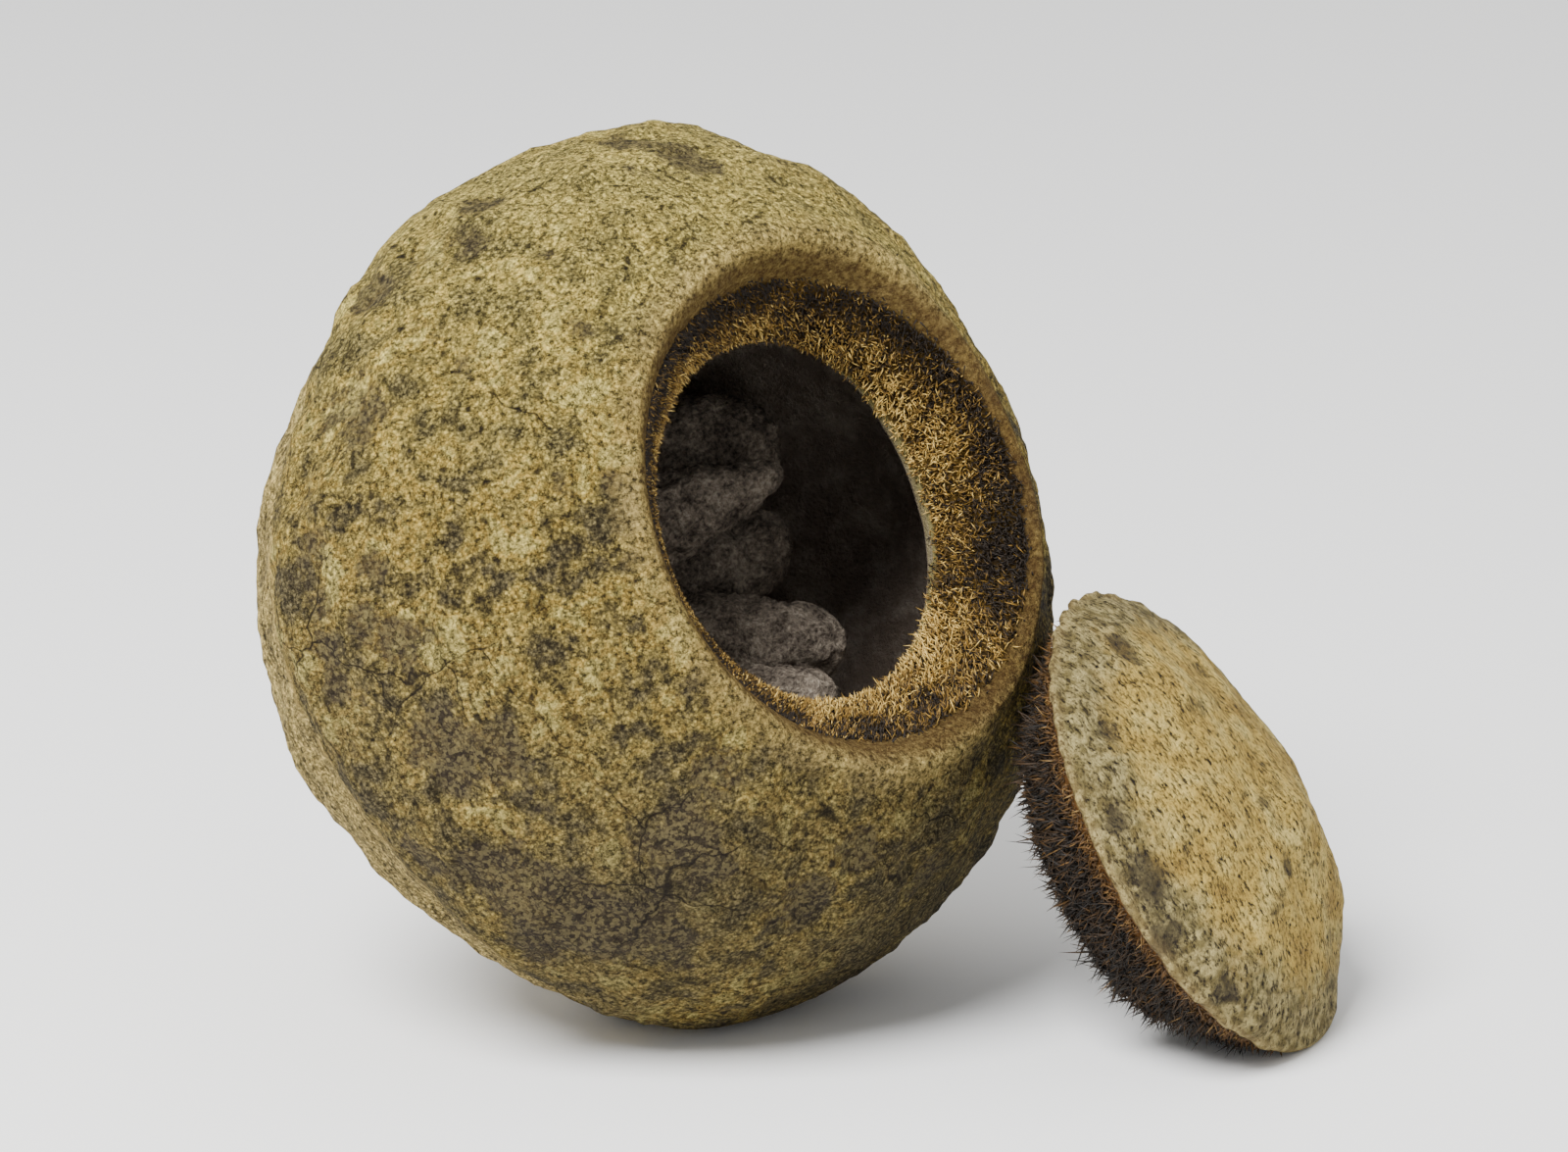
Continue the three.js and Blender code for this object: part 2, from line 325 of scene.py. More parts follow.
def finished(mesh: bpy.types.Mesh, name: str, material: bpy.types.Material) -> bpy.types.Object:
    """Makes a smooth-shaded piece of a mesh, and lets it ride on the part.

    Args:
        mesh: The piece's mesh.
        name: The piece's name.
        material: Its material.

    Returns:
        The piece.
    """
    mesh.name = name
    mesh.materials.append(material)
    mesh.shade_smooth()
    piece = bpy.data.objects.new(name, mesh)
    bpy.context.scene.collection.objects.link(piece)
    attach(piece, BODY)
    LOG.info("%s: %d triangles", name, sum(len(p.vertices) - 2 for p in mesh.polygons))
    return piece


def tree_of(mesh: bpy.types.Mesh) -> BVHTree:
    """A search tree of a mesh's faces."""
    bm = bmesh.new()
    bm.from_mesh(mesh)
    found = BVHTree.FromBMesh(bm)
    bm.free()
    return found


def nodes_tree(names: list[str]) -> BVHTree:
    """A search tree of several CAD nodes' faces."""
    bm = bmesh.new()
    for name in names:
        bm.from_mesh(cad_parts[name].data)
    found = BVHTree.FromBMesh(bm)
    bm.free()
    return found


@dataclass(frozen=True)
class Scattered:
    """Places spread over a mesh: points in metres, normals, and a value of each asked-for kind."""

    points: np.ndarray
    normals: np.ndarray
    values: list[np.ndarray]


def scatter(
    mesh: bpy.types.Mesh, weight: np.ndarray, count: int, seed: int, *kinds: np.ndarray
) -> Scattered:
    """Spreads places over a mesh at random, more where the weight is greater.

    Args:
        mesh: Mesh to spread them over.
        weight: How dense they are at each vertex.
        count: Number of places.
        seed: Seed of the random draw.
        kinds: Values at the vertices, to be read at each place.

    Returns:
        The places.
    """
    draw = np.random.default_rng(seed)
    mesh.calc_loop_triangles()
    corners = np.empty(len(mesh.loop_triangles) * 3, dtype=np.int32)
    mesh.loop_triangles.foreach_get("vertices", corners)
    corners = corners.reshape(-1, 3)
    points = points_of(mesh)
    a, b, c = (points[corners[:, i]] for i in range(3))
    area = np.linalg.norm(np.cross(b - a, c - a), axis=1)
    chance = area * weight[corners].mean(axis=1)
    picked = corners[draw.choice(len(corners), count, p=chance / chance.sum())]
    first, second = np.sqrt(draw.random(count)), draw.random(count)
    shares = np.stack([1 - first, first * (1 - second), first * second], axis=1)

    def read(values: np.ndarray) -> np.ndarray:
        """Values at the places, from those at the corners round them."""
        return np.einsum("nk,nk...->n...", shares, values[picked])

    normals = read(normals_of(mesh))
    normals /= np.linalg.norm(normals, axis=1, keepdims=True)
    return Scattered(read(points), normals, [read(kind) for kind in kinds])


def strand() -> tuple[np.ndarray, np.ndarray]:
    """One fibre of unit length and radius: a three-sided taper in two lengths.

    Returns:
        Its vertices and its triangles.
    """
    bm = bmesh.new()
    bmesh.ops.create_circle(bm, segments=3, radius=1.0)
    for start, rise, narrowing in ((0.0, 0.5, 0.8), (0.5, 0.5, 0.0)):
        border = [e for e in bm.edges if all(v.co.z > start - 0.1 for v in e.verts)]
        grown = bmesh.ops.extrude_edge_only(bm, edges=border)["geom"]
        tips = [v for v in grown if isinstance(v, bmesh.types.BMVert)]
        bmesh.ops.translate(bm, verts=tips, vec=(0, 0, rise))
        bmesh.ops.scale(bm, verts=tips, vec=(narrowing, narrowing, 1))
    bmesh.ops.remove_doubles(bm, verts=bm.verts, dist=1e-4)
    bmesh.ops.recalc_face_normals(bm, faces=bm.faces)
    bmesh.ops.triangulate(bm, faces=bm.faces)
    bm.verts.index_update()
    vertices = np.array([v.co[:] for v in bm.verts])
    triangles = np.array([[v.index for v in f.verts] for f in bm.faces])
    bm.free()
    return vertices, triangles


@dataclass(frozen=True)
class Tuft:
    """Fibres that grow from a surface. Every array has a row or a value for each fibre."""

    roots: np.ndarray
    ways: np.ndarray
    bends: np.ndarray
    lengths: np.ndarray
    radii: np.ndarray
    tones: np.ndarray

    def mesh(self, name: str) -> bpy.types.Mesh:
        """Stamps the fibres into one mesh.

        Args:
            name: Name of the mesh.

        Returns:
            The mesh, with tone and tip values at its vertices.
        """
        shape, triangles = strand()
        ways = self.ways / np.linalg.norm(self.ways, axis=1, keepdims=True)
        side = np.cross(ways, self.bends + 1e-6)
        side /= np.linalg.norm(side, axis=1, keepdims=True)
        over = np.cross(ways, side)
        share = shape[None, :, 2, None]
        reach = self.lengths[:, None, None] * share
        points = (
            self.roots[:, None, :]
            + ways[:, None, :] * reach
            + self.bends[:, None, :] * reach * share
            + (side[:, None, :] * shape[None, :, 0, None] + over[:, None, :] * shape[None, :, 1, None])
            * self.radii[:, None, None]
        )
        points[..., 2] = np.maximum(points[..., 2], 0.1 * MM)
        count = len(self.roots)
        first = np.arange(count)[:, None, None] * len(shape)
        mesh = bpy.data.meshes.new(name)
        mesh.from_pydata(points.reshape(-1, 3), [], (triangles[None] + first).reshape(-1, 3))
        set_values(mesh, "tone", np.repeat(self.tones, len(shape)))
        set_values(mesh, "tip", np.tile(shape[:, 2], count))
        return mesh


@dataclass(frozen=True)
class CorkyRind:
    """Dry fruit rind: a corky crust of grains on a woody husk, worn to smooth grey patches.

    The crust breaks the light into pale grains with dark gaps, partly painted shade; painted light pales it on
    top and painted shade darkens it low down; the lip is felted with short hair.
    """

    # The pale blotch colour is also the painted light on top of the crust.
    pale: str = "#dfcb72"
    ochre: str = "#988548"
    tan: str = "#ccb35e"
    orange: str = "#b8963f"
    # Dark of the gaps between grains and of the streaks; in the gaps it is partly painted shade.
    dark_gap_and_shade: str = "#1c150b"
    # The dark olive of the blotches and worn patches is also the painted shade low down.
    shaded: str = "#6c6142"
    worn: str = "#3a3027"
    worn_dark: str = "#1b1510"
    pit: str = "#1d1610"
    base: str = "#dcc27a"
    ring: str = "#cdb068"
    felt: str = "#84703f"
    felt_pale: str = "#b9a163"
    edge: str = "#553b1c"
    bed: str = "#1a1107"
    bed_gold: str = "#6b5222"
    rim: str = "#8f8455"
    lining: str = "#857669"
    lining_pale: str = "#b9ab9c"
    # The real grains are 0.4 to 0.7 mm wide.
    grain: float = 0.5
    speck: float = 0.85
    fine: float = 1.3
    blotch: float = 6.5
    cloud: float = 24.0
    streak: tuple[float, float, float] = (7.0, 7.0, 1.1)
    smear: float = 11.0
    pit_spacing: float = 3.4
    crack_spacing: float = 15.0
    # Heights between which painted light makes the skin paler upwards, and painted shade makes it darker
    # downwards.
    painted_light_span: tuple[float, float] = (75.0, 115.0)
    painted_shade_span: tuple[float, float] = (105.0, 15.0)
    ring_height: float = -3.5
    ring_fade: float = 0.6
    lip_outer: float = 5.5
    mouth_edge: float = -17.0

    def material(self) -> bpy.types.Material:
        """Builds the rind's nodes.

        Returns:
            The material.
        """
        # Dry cork scatters all light, so it has no highlight: only pale grains, dark gaps that are partly
        # painted shade, and worn smears.
        material, tree = new_material("corky_fruit_rind")
        add = partial(add_node, tree)
        spot = POT_FRAME.coordinates(tree)
        height = add("SeparateXYZ", {0: add("TexCoord").outputs["Object"]}).outputs["Z"]
        axial = add("SeparateXYZ", {0: spot}).outputs["Z"]
        along = add("Attribute", attribute_name="along").outputs["Fac"]
        worn_spots = add("Attribute", attribute_name="worn").outputs["Fac"]

        grains = add("TexVoronoi", {"Vector": spot, "Scale": 1 / self.grain, "Detail": 1.0, "Roughness": 0.5})
        grain_random = add("SeparateColor", {0: grains.outputs["Color"]}).outputs[0]
        gaps = add(
            "MapRange", {"Value": grains.outputs["Distance"], "From Min": 0.5, "From Max": 0.95}
        ).outputs[0]
        fine = add("TexNoise", {"Vector": spot, "Scale": 1 / self.fine, "Detail": 4.0}).outputs[0]
        blotch = add(
            "TexNoise", {"Vector": spot, "Scale": 1 / self.blotch, "Detail": 5.0, "Roughness": 0.62}
        ).outputs[0]
        specks = add(
            "TexNoise", {"Vector": spot, "Scale": 1 / self.speck, "Detail": 5.0, "Roughness": 0.85}
        ).outputs[0]
        cloud = add("TexNoise", {"Vector": spot, "Scale": 1 / self.cloud, "Detail": 3.0}).outputs[0]
        swirl = add("TexNoise", {"Vector": spot, "Scale": 1 / self.blotch, "Detail": 3.0}).outputs["Color"]
        bent = add(
            "VectorMath", {0: swirl, 1: (self.blotch, self.blotch, self.blotch), 2: spot},
            operation="MULTIPLY_ADD",
        ).outputs[0]
        pits = add("TexVoronoi", {"Vector": bent, "Scale": 1 / self.pit_spacing})
        pit_random = add("SeparateColor", {0: pits.outputs["Color"]}).outputs[1]

        # Crust: ochre and tan blotches, with painted light paling it on top and painted shade greying it low
        # down.
        crust = add("ValToRGB", {"Fac": blotch}, stops=(
            (0.39, self.shaded), (0.45, self.ochre), (0.50, self.tan), (0.54, self.orange), (0.61, self.pale),
        )).outputs[0]
        # Painted light: the crust pales towards the top of the scene.
        top = add("MapRange", {
            "Value": height, "From Min": self.painted_light_span[0] * MM, "From Max": self.painted_light_span[1] * MM
        }).outputs[0]
        paler = add("Math", {0: top, 1: cloud}, operation="MULTIPLY").outputs[0]
        paler = add("Math", {0: paler, 1: 1.5}, operation="MULTIPLY", use_clamp=True).outputs[0]
        crust = add("Mix", {0: paler, 6: crust, 7: linear(self.pale)}, data_type="RGBA").outputs[2]
        # Painted shade: the crust darkens to olive towards the floor.
        low = add("MapRange", {
            "Value": height, "From Min": self.painted_shade_span[0] * MM, "From Max": self.painted_shade_span[1] * MM, "To Max": 1.6
        }).outputs[0]
        painted_shade_share = add("Math", {0: low, 1: cloud}, operation="MULTIPLY").outputs[0]
        crust = add("Mix", {0: painted_shade_share, 6: crust, 7: linear(self.shaded)}, data_type="RGBA").outputs[2]
        under = add(
            "MapRange", {
                "Value": axial, "From Min": self.ring_height + self.ring_fade,
                "From Max": self.ring_height - self.ring_fade,
            }
        ).outputs[0]
        under_share = add("Math", {0: under, 1: 0.65}, operation="MULTIPLY").outputs[0]
        crust = add("Mix", {0: under_share, 6: crust, 7: linear(self.base)}, data_type="RGBA").outputs[2]
        uneven = add("MapRange", {
            "Value": specks, "From Min": 0.4, "From Max": 0.6, "To Min": 0.12, "To Max": 1.55
        }).outputs[0]
        speckle = add("MapRange", {"Value": grain_random, "To Min": 0.7, "To Max": 1.35}).outputs[0]
        speckle = add("Math", {0: speckle, 1: uneven}, operation="MULTIPLY").outputs[0]
        crust = add(
            "Mix", {0: 1.0, 6: crust, 7: speckle}, data_type="RGBA", blend_type="MULTIPLY"
        ).outputs[2]
        # Dark gaps between the grains: partly the husk's own dark, partly painted shade in the low parts of the
        # relief.
        crusty = add("MapRange", {
            "Value": blotch, "From Min": 0.35, "From Max": 0.65, "To Min": 0.75, "To Max": 0.35
        }).outputs[0]
        gap_shade_share = add("Math", {0: gaps, 1: crusty}, operation="MULTIPLY").outputs[0]
        crust = add("Mix", {0: gap_shade_share, 6: crust, 7: linear(self.dark_gap_and_shade)}, data_type="RGBA").outputs[2]

        # Thin dark streaks that run round the fruit.
        drawn = add("VectorMath", {0: spot, 1: self.streak}, operation="DIVIDE").outputs[0]
        streaks = add("TexNoise", {"Vector": drawn, "Scale": 1.0, "Detail": 4.0}).outputs[0]
        streaks = add(
            "MapRange", {"Value": streaks, "From Min": 0.57, "From Max": 0.7, "To Max": 0.7}
        ).outputs[0]
        crust = add("Mix", {0: streaks, 6: crust, 7: linear(self.dark_gap_and_shade)}, data_type="RGBA").outputs[2]

        # Worn patches: the placed ones with ragged edges, and small ones anywhere.
        smears = add(
            "TexNoise", {"Vector": bent, "Scale": 1 / self.smear, "Detail": 6.0, "Roughness": 0.7}
        ).outputs[0]
        patchy = add("Math", {0: worn_spots, 1: 0.2, 2: smears}, operation="MULTIPLY_ADD").outputs[0]
        patchy = add("MapRange", {"Value": patchy, "From Min": 0.59, "From Max": 0.68}).outputs[0]
        worn = add("ValToRGB", {"Fac": grain_random}, stops=(
            (0.1, self.worn_dark), (0.7, self.worn), (1.0, self.shaded),
        )).outputs[0]
        worn_share = add("Math", {0: patchy, 1: 0.8}, operation="MULTIPLY").outputs[0]
        skin = add("Mix", {0: worn_share, 6: crust, 7: worn}, data_type="RGBA").outputs[2]

        # Pits in some places, and thin broken cracks.
        pit = add(
            "MapRange", {"Value": pits.outputs["Distance"], "From Min": 0.24, "From Max": 0.1}
        ).outputs[0]
        chosen = add("Math", {0: pit_random, 1: 0.66}, operation="GREATER_THAN").outputs[0]
        pit = add("Math", {0: pit, 1: chosen}, operation="MULTIPLY").outputs[0]
        cracks = add(
            "TexVoronoi", {"Vector": bent, "Scale": 1 / self.crack_spacing}, feature="DISTANCE_TO_EDGE"
        )
        crack = add(
            "MapRange", {"Value": cracks.outputs["Distance"], "From Min": 0.012, "From Max": 0.003}
        ).outputs[0]
        broken = add("MapRange", {"Value": cloud, "From Min": 0.52, "From Max": 0.6}).outputs[0]
        crack = add("Math", {0: crack, 1: broken}, operation="MULTIPLY").outputs[0]
        dents = add("Math", {0: pit, 1: crack}, operation="MAXIMUM").outputs[0]
        dent_share = add("Math", {0: dents, 1: 0.85}, operation="MULTIPLY").outputs[0]
        skin = add("Mix", {0: dent_share, 6: skin, 7: linear(self.pit)}, data_type="RGBA").outputs[2]

        # Calyx ring: a thin pale line.
        off_ring = add("Math", {0: axial, 1: -self.ring_height}, operation="ADD").outputs[0]
        off_ring = add("Math", {0: fine, 1: 1.6, 2: off_ring}, operation="MULTIPLY_ADD").outputs[0]
        off_ring = add("Math", {0: off_ring, 1: 0.8}, operation="SUBTRACT").outputs[0]
        off_ring = add("Math", {0: off_ring}, operation="ABSOLUTE").outputs[0]
        ring = add("MapRange", {"Value": off_ring, "From Min": 0.8, "From Max": 0.2}).outputs[0]
        faded = add(
            "MapRange", {"Value": blotch, "From Min": 0.4, "From Max": 0.62, "To Max": 0.6}
        ).outputs[0]
        ring = add("Math", {0: ring, 1: faded}, operation="MULTIPLY").outputs[0]
        skin = add("Mix", {0: ring, 6: skin, 7: linear(self.ring)}, data_type="RGBA").outputs[2]

        # Lip, fibrous slope, mouth's edge and hollow, each from its distance along the wall.
        wander = add("Math", {0: fine, 1: 3.0, 2: -1.5}, operation="MULTIPLY_ADD").outputs[0]
        reach = add("Math", {0: along, 1: wander}, operation="ADD").outputs[0]
        felt = add(
            "ValToRGB", {"Fac": cloud}, stops=((0.35, self.felt), (0.65, self.felt_pale))
        ).outputs[0]
        felt = add(
            "Mix", {0: 1.0, 6: felt, 7: speckle}, data_type="RGBA", blend_type="MULTIPLY"
        ).outputs[2]
        on_lip = add(
            "MapRange", {
                "Value": reach, "From Min": self.lip_outer, "From Max": self.lip_outer - 4.5, "To Max": 0.65
            }
        ).outputs[0]
        skin = add("Mix", {0: on_lip, 6: skin, 7: felt}, data_type="RGBA").outputs[2]
        on_edge = add(
            "MapRange", {"Value": reach, "From Min": 0.2, "From Max": -2.6, "To Max": 0.7}
        ).outputs[0]
        skin = add("Mix", {0: on_edge, 6: skin, 7: linear(self.edge)}, data_type="RGBA").outputs[2]
        # Bed under the mouth's fibres: dark brown with gold blotches; its dark is partly painted shade between
        # the fibres.
        bed = add(
            "ValToRGB", {"Fac": blotch}, stops=((0.4, self.bed), (0.65, self.bed_gold))
        ).outputs[0]
        bedded = add("Attribute", attribute_name="bed").outputs["Fac"]
        on_bed = add("Math", {0: wander, 1: 0.2, 2: bedded}, operation="MULTIPLY_ADD").outputs[0]
        on_bed = add("MapRange", {"Value": on_bed, "From Min": 0.3, "From Max": 0.7}).outputs[0]
        skin = add("Mix", {0: on_bed, 6: skin, 7: bed}, data_type="RGBA").outputs[2]
        on_rim = add(
            "MapRange", {"Value": along, "From Min": self.mouth_edge + 1.4, "From Max": self.mouth_edge + 0.6}
        ).outputs[0]
        skin = add("Mix", {0: on_rim, 6: skin, 7: linear(self.rim)}, data_type="RGBA").outputs[2]
        lining = add(
            "ValToRGB", {"Fac": blotch}, stops=((0.45, self.lining), (0.72, self.lining_pale))
        ).outputs[0]
        inside = add(
            "MapRange", {"Value": along, "From Min": self.mouth_edge - 0.2, "From Max": self.mouth_edge - 1.2}
        ).outputs[0]
        skin = add("Mix", {0: inside, 6: skin, 7: lining}, data_type="RGBA").outputs[2]

        # Relief in millimetres: grains, lumps, pits and cracks, with the worn patches lower and smoother.
        grainy = add("MapRange", {"Value": gaps, "To Min": 0.34, "To Max": 0.0}).outputs[0]
        keep = add("MapRange", {"Value": patchy, "To Min": 1.0, "To Max": 0.25}).outputs[0]
        relief = add("Math", {0: grainy, 1: keep}, operation="MULTIPLY").outputs[0]
        relief = add("Math", {0: specks, 1: 1.7, 2: relief}, operation="MULTIPLY_ADD").outputs[0]
        relief = add("Math", {0: blotch, 1: 1.6, 2: relief}, operation="MULTIPLY_ADD").outputs[0]
        relief = add("Math", {0: patchy, 1: -0.22, 2: relief}, operation="MULTIPLY_ADD").outputs[0]
        relief = add("Math", {0: dents, 1: -0.5, 2: relief}, operation="MULTIPLY_ADD").outputs[0]
        bump = add("Bump", {"Height": relief, "Strength": 1.0, "Distance": MM})
        sheen = add("MapRange", {"Value": patchy, "To Min": 0.95, "To Max": 0.8}).outputs[0]
        shader = add("BsdfPrincipled", {
            "Base Color": skin, "Roughness": sheen, "Normal": bump.outputs[0],
            "Specular IOR Level": 0.15, "IOR": 1.45,
        })
        add("OutputMaterial", {"Surface": shader.outputs[0]})
        return material


@dataclass(frozen=True)
class DryFibre:
    """Dry plant fibre, torn short: painted shade darkens it at its root, and it is paler and a little glossy to
    its tip.
    """

    name: str
    # The root colour is painted shade, where the fibres shade one another.
    root: str
    dark: str
    middle: str
    light: str

    def material(self) -> bpy.types.Material:
        """Builds the fibre's nodes, which read the tone and tip values of a tuft.

        Returns:
            The material.
        """
        # Torn plant fibre is dull: its tips catch the light, and painted shade darkens it between the roots.
        material, tree = new_material(self.name)
        add = partial(add_node, tree)
        tone = add("Attribute", attribute_name="tone").outputs["Fac"]
        tip = add("Attribute", attribute_name="tip").outputs["Fac"]
        colour = add(
            "ValToRGB", {"Fac": tone}, stops=((0.0, self.dark), (0.5, self.middle), (1.0, self.light))
        ).outputs[0]
        # Painted shade: each fibre darkens towards its root, where the strands shade one another.
        shaded = add("MapRange", {"Value": tip, "From Max": 0.6, "To Min": 0.75, "To Max": 0.0}).outputs[0]
        colour = add("Mix", {0: shaded, 6: colour, 7: linear(self.root)}, data_type="RGBA").outputs[2]
        shader = add("BsdfPrincipled", {
            "Base Color": colour, "Roughness": 0.6, "Specular IOR Level": 0.35, "IOR": 1.5,
        })
        add("OutputMaterial", {"Surface": shader.outputs[0]})
        return material


@dataclass(frozen=True)
class FeltedLidSkin:
    """Dry rind of the lid: a fine crust with short dark flecks, felted grey-green towards its rim."""

    tan: str = "#caab57"
    pale: str = "#e4cc7a"
    brown: str = "#a58742"
    fleck: str = "#1c140b"
    grey: str = "#5f5738"
    grey_pale: str = "#b0a270"
    worn: str = "#2f2820"
    edge: str = "#c4a56a"
    plug: str = "#170f06"
    plug_orange: str = "#6a4415"
    # The flecks are about half a millimetre wide.
    fleck_size: float = 0.6
    fine: float = 1.6
    blotch: float = 6.0
    streak: tuple[float, float, float] = (0.5, 1.2, 0.8)
    smear: float = 8.0
    rim_band: float = 7.0
    radius: float = 33.6

    def material(self) -> bpy.types.Material:
        """Builds the lid's nodes.

        Returns:
            The material.
        """
        # Rind worn to felt is matt from every side, with short dark flecks where the nap is broken.
        material, tree = new_material("felted_lid_rind")
        add = partial(add_node, tree)
        spot = LID_FRAME.coordinates(tree)
        axial = add("SeparateXYZ", {0: spot}).outputs["Z"]
        flat = add("VectorMath", {0: spot, 1: (1, 1, 0)}, operation="MULTIPLY").outputs[0]
        across = add("VectorMath", {0: flat}, operation="LENGTH").outputs["Value"]
        worn_spots = add("Attribute", attribute_name="worn").outputs["Fac"]

        flecks = add("TexVoronoi", {"Vector": spot, "Scale": 1 / self.fleck_size})
        fine = add("TexNoise", {"Vector": spot, "Scale": 1 / self.fine, "Detail": 4.0}).outputs[0]
        blotch = add(
            "TexNoise", {"Vector": spot, "Scale": 1 / self.blotch, "Detail": 5.0, "Roughness": 0.6}
        ).outputs[0]
        crust = add("ValToRGB", {"Fac": blotch}, stops=(
            (0.32, self.brown), (0.48, self.tan), (0.66, self.pale),
        )).outputs[0]
        gaps = add(
            "MapRange", {"Value": flecks.outputs["Distance"], "From Min": 0.5, "From Max": 0.95}
        ).outputs[0]
        drawn = add("VectorMath", {0: spot, 1: self.streak}, operation="DIVIDE").outputs[0]
        specks = add("TexNoise", {"Vector": drawn, "Scale": 1.0, "Detail": 4.0, "Roughness": 0.75}).outputs[0]
        dark = add("MapRange", {"Value": specks, "From Min": 0.48, "From Max": 0.62}).outputs[0]
        dark = add("Math", {0: gaps, 1: 0.35, 2: dark}, operation="MULTIPLY_ADD").outputs[0]
        dark_share = add("Math", {0: dark, 1: 0.92}, operation="MULTIPLY", use_clamp=True).outputs[0]

        # Grey felt near the rim.
        wander = add("Math", {0: blotch, 1: 12.0, 2: -6.0}, operation="MULTIPLY_ADD").outputs[0]
        reach = add("Math", {0: across, 1: wander}, operation="ADD").outputs[0]
        near_rim = add("MapRange", {
            "Value": reach, "From Min": self.radius - self.rim_band - 3,
            "From Max": self.radius - self.rim_band + 2, "To Max": 0.85,
        }).outputs[0]
        felt = add(
            "ValToRGB", {"Fac": fine}, stops=((0.4, self.grey), (0.6, self.grey_pale))
        ).outputs[0]
        skin = add("Mix", {0: near_rim, 6: crust, 7: felt}, data_type="RGBA").outputs[2]
        skin = add("Mix", {0: dark_share, 6: skin, 7: linear(self.fleck)}, data_type="RGBA").outputs[2]
        smears = add(
            "TexNoise", {"Vector": spot, "Scale": 1 / self.smear, "Detail": 6.0, "Roughness": 0.72}
        ).outputs[0]
        patchy = add("Math", {0: worn_spots, 1: 0.2, 2: smears}, operation="MULTIPLY_ADD").outputs[0]
        patchy = add("MapRange", {
            "Value": patchy, "From Min": 0.58, "From Max": 0.7, "To Max": 0.75
        }).outputs[0]
        skin = add("Mix", {0: patchy, 6: skin, 7: linear(self.worn)}, data_type="RGBA").outputs[2]

        # Pale edge, then the torn plug under it, darker deeper under the rim with painted shade.
        edge = add("MapRange", {"Value": axial, "From Min": 0.8, "From Max": 0.2, "To Max": 0.15}).outputs[0]
        skin = add("Mix", {0: edge, 6: skin, 7: linear(self.edge)}, data_type="RGBA").outputs[2]
        # Painted shade darkens the plug from orange near the rim to near black deeper under it.
        torn = add("MapRange", {"Value": axial, "From Min": -5.0, "From Max": -1.0}).outputs[0]
        plug = add("ValToRGB", {"Fac": torn}, stops=((0.0, self.plug), (1.0, self.plug_orange))).outputs[0]
        below = add("MapRange", {"Value": axial, "From Min": -0.6, "From Max": -1.4}).outputs[0]
        skin = add("Mix", {0: below, 6: skin, 7: plug}, data_type="RGBA").outputs[2]

        relief = add("MapRange", {"Value": gaps, "To Min": 0.3, "To Max": 0.0}).outputs[0]
        relief = add("Math", {0: specks, 1: -1.5, 2: relief}, operation="MULTIPLY_ADD").outputs[0]
        relief = add("Math", {0: blotch, 1: 0.7, 2: relief}, operation="MULTIPLY_ADD").outputs[0]
        bump = add("Bump", {"Height": relief, "Strength": 1.0, "Distance": MM})
        shader = add("BsdfPrincipled", {
            "Base Color": skin, "Roughness": 0.9, "Normal": bump.outputs[0],
            "Specular IOR Level": 0.25, "IOR": 1.45,
        })
        add("OutputMaterial", {"Surface": shader.outputs[0]})
        return material


@dataclass(frozen=True)
class SeedCoat:
    """Dry nut shell: dark, wrinkled and dusty, with painted shade in its folds and a faint grey bloom with a
    painted highlight on its ridges.
    """

    # The dark shell colour is also the painted shade in the folds, and the dusty pale one carries a painted
    # highlight on the ridges.
    dark: str = "#3d342c"
    brown: str = "#85796b"
    dust_and_highlight: str = "#b5a896"
    wrinkle: float = 3.2
    grit: float = 0.7

    def material(self) -> bpy.types.Material:
        """Builds the shell's nodes.

        Returns:
            The material.
        """
        # A dry nut shell is dull: its folds carry painted shade, and its ridges a dusty paleness with a faint
        # painted sheen.
        material, tree = new_material("wrinkled_nut_shell")
        add = partial(add_node, tree)
        spot = POT_FRAME.coordinates(tree)
        wrinkles = add("TexNoise", {"Vector": spot, "Scale": 1 / self.wrinkle, "Detail": 5.0}).outputs[0]
        grit = add(
            "TexNoise", {"Vector": spot, "Scale": 1 / self.grit, "Detail": 4.0, "Roughness": 0.7}
        ).outputs[0]
        both = add("Math", {0: wrinkles, 1: 0.6, 2: grit}, operation="MULTIPLY_ADD").outputs[0]
        # Colour follows the relief: painted shade in the folds, dusty paleness and a painted highlight on the
        # ridges.
        relief_light_and_dust = add("MapRange", {"Value": both, "From Min": 0.62, "From Max": 1.0}).outputs[0]
        colour = add("ValToRGB", {"Fac": relief_light_and_dust}, stops=(
            (0.0, self.dark), (0.55, self.brown), (1.0, self.dust_and_highlight),
        )).outputs[0]
        bump = add("Bump", {"Height": both, "Strength": 1.0, "Distance": 1.2 * MM})
        shader = add("BsdfPrincipled", {
            "Base Color": colour, "Roughness": 0.75, "Normal": bump.outputs[0],
            "Specular IOR Level": 0.3, "IOR": 1.45,
        })
        add("OutputMaterial", {"Surface": shader.outputs[0]})
        return material


@dataclass(frozen=True)
class WornSpot:
    """A worn patch, by the photograph's pixel at its middle and its radius in pixels."""

    across: float
    down: float
    radius: float


